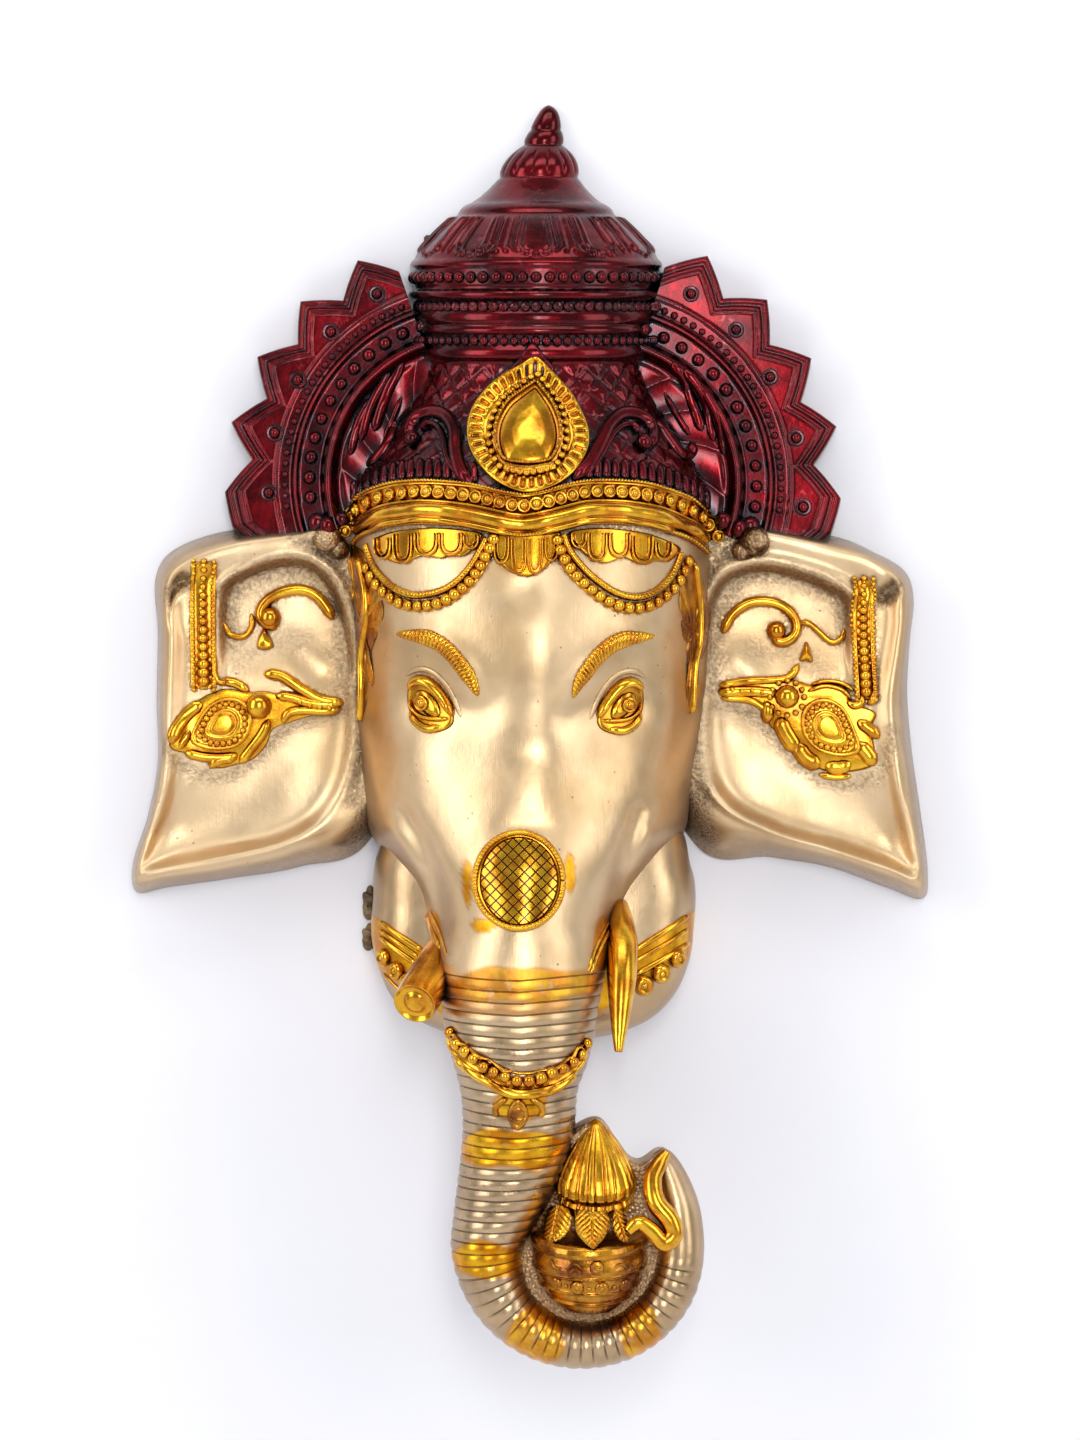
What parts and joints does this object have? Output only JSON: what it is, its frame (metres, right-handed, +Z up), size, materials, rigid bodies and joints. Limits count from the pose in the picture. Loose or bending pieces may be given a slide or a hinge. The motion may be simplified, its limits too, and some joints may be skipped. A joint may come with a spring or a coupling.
{
  "type": "ganesha mask wall hanging",
  "caption": "Hollow cast-brass relief mask of Ganesha with crown, zigzag fans, wide ears and a trunk curled round a pot; open at the back, with a hanging bar.",
  "frame": {"origin": "middle of the hanging bar's back face, on the wall plane", "axes": "+Y into the wall, +Z up, +X to the viewer's right; the front of the mask faces -Y"},
  "size_m": [0.3999, 0.12, 0.6123],
  "materials": {
    "cast_brass": "cast and chased brass with tinted lacquers"
  },
  "bodies": {
    "root": {"ganesha_mask": "cast_brass"}
  },
  "joints": []
}
